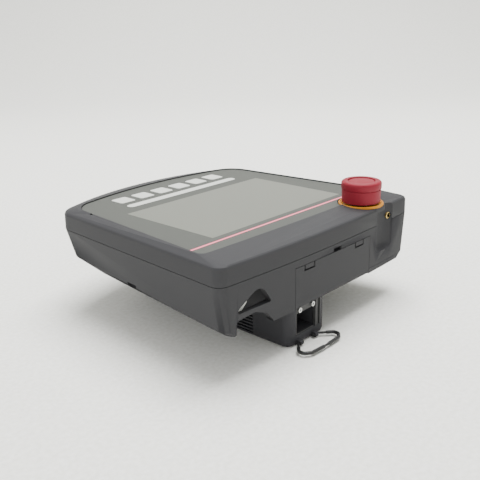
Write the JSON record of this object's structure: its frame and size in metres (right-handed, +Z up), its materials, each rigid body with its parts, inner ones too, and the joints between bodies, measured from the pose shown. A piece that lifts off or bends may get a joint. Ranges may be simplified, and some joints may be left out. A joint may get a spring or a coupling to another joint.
{
  "type": "teach pendant",
  "caption": "Hand-held teach pendant with display, soft keys, emergency stop, grip troughs, rear pod with cable bay and service door.",
  "frame": {"origin": "on the level that the pod rests on, below the middle of the body", "axes": "+Z up through the display, +Y from the emergency stop and service wall towards the keys, +X to the right of a person who faces the display with the emergency stop near them"},
  "size_m": [0.2928, 0.3037, 0.1305],
  "materials": {
    "black_plastic": "smooth",
    "board_green": "lacquered",
    "brass": "turned",
    "foil_grey": "satin",
    "housing_grey": "fine grained",
    "light_plastic": "smooth",
    "pod_grey": "fine grained",
    "rear_grey": "fine grained",
    "red_plastic": "satin",
    "screen": "anti-glare",
    "seal": "matt",
    "sheet_metal": "milled",
    "steel": "turned",
    "terminal_green": "smooth",
    "wire_black": "coated",
    "yellow_plastic": "satin"
  },
  "bodies": {
    "housing": {"front_housing": "housing_grey", "rear_housing": "rear_grey", "housing_gasket": "seal", "housing_screws": "steel", "front_foil": "foil_grey", "legend_strip": "light_plastic", "display_glass": "screen", "display_module": "sheet_metal", "chassis_plate": "sheet_metal", "chassis_screws": "steel", "main_board": "board_green", "heat_sink": "sheet_metal", "key_board": "board_green", "buffer_battery": "black_plastic", "estop_collar": "yellow_plastic", "estop_nut": "black_plastic", "estop_contact_block": "black_plastic", "threaded_bush": "brass", "service_board": "board_green", "terminal_block": "terminal_green", "network_socket": "sheet_metal", "enabling_switch_left": "black_plastic", "enabling_switch_right": "black_plastic", "connector_pod": "pod_grey", "pod_screws": "steel", "bay_frame": "black_plastic", "bay_connector": "black_plastic", "bay_screws": "steel"},
    "service_door": {"service_door": "rear_grey", "door_hinge_pins": "steel"},
    "estop_plunger": {"estop_plunger": "black_plastic"},
    "estop_head": {"estop_head": "red_plastic"},
    "enabling_paddle_left": {"enabling_paddle_left": "light_plastic"},
    "enabling_paddle_right": {"enabling_paddle_right": "light_plastic"},
    "wire_bail": {"wire_bail": "wire_black"},
    "key_1": {"key_1": "light_plastic"},
    "key_2": {"key_2": "light_plastic"},
    "key_3": {"key_3": "light_plastic"},
    "key_4": {"key_4": "light_plastic"},
    "key_5": {"key_5": "light_plastic"},
    "key_6": {"key_6": "light_plastic"}
  },
  "joints": [
    {"name": "door_hinge", "type": "hinge", "parent": "housing", "child": "service_door", "pos_m": [0.00575, -0.1384, 0.0405], "axis": [1, 0, 0], "range_deg": [0, 95]},
    {"name": "estop_press", "type": "slide", "parent": "housing", "child": "estop_plunger", "axis": [0, 0, -1], "range_m": [0, 0.003], "stiffness_N_per_m": 4000, "springref_m": -0.0012},
    {"name": "estop_twist", "type": "hinge", "parent": "estop_plunger", "child": "estop_head", "pos_m": [0.084, -0.116, 0.111], "axis": [0, 0, -1], "range_deg": [0, 40], "stiffness_Nm_per_rad": 0.4},
    {"name": "paddle_left_press", "type": "slide", "parent": "housing", "child": "enabling_paddle_left", "axis": [-1, 0, 0], "range_m": [0, 0.003], "stiffness_N_per_m": 3000, "springref_m": -0.0005},
    {"name": "paddle_right_press", "type": "slide", "parent": "housing", "child": "enabling_paddle_right", "axis": [1, 0, 0], "range_m": [0, 0.003], "stiffness_N_per_m": 3000, "springref_m": -0.0005},
    {"name": "bail_swing", "type": "hinge", "parent": "housing", "child": "wire_bail", "pos_m": [-0.035, -0.1398, 0.0036], "axis": [-1, 0, 0], "range_deg": [0, 90]},
    {"name": "key_1_press", "type": "slide", "parent": "housing", "child": "key_1", "axis": [0, 0, -1], "range_m": [0, 0.0007], "stiffness_N_per_m": 900, "springref_m": -0.0005},
    {"name": "key_2_press", "type": "slide", "parent": "housing", "child": "key_2", "axis": [0, 0, -1], "range_m": [0, 0.0007], "stiffness_N_per_m": 900, "springref_m": -0.0005},
    {"name": "key_3_press", "type": "slide", "parent": "housing", "child": "key_3", "axis": [0, 0, -1], "range_m": [0, 0.0007], "stiffness_N_per_m": 900, "springref_m": -0.0005},
    {"name": "key_4_press", "type": "slide", "parent": "housing", "child": "key_4", "axis": [0, 0, -1], "range_m": [0, 0.0007], "stiffness_N_per_m": 900, "springref_m": -0.0005},
    {"name": "key_5_press", "type": "slide", "parent": "housing", "child": "key_5", "axis": [0, 0, -1], "range_m": [0, 0.0007], "stiffness_N_per_m": 900, "springref_m": -0.0005},
    {"name": "key_6_press", "type": "slide", "parent": "housing", "child": "key_6", "axis": [0, 0, -1], "range_m": [0, 0.0007], "stiffness_N_per_m": 900, "springref_m": -0.0005}
  ]
}
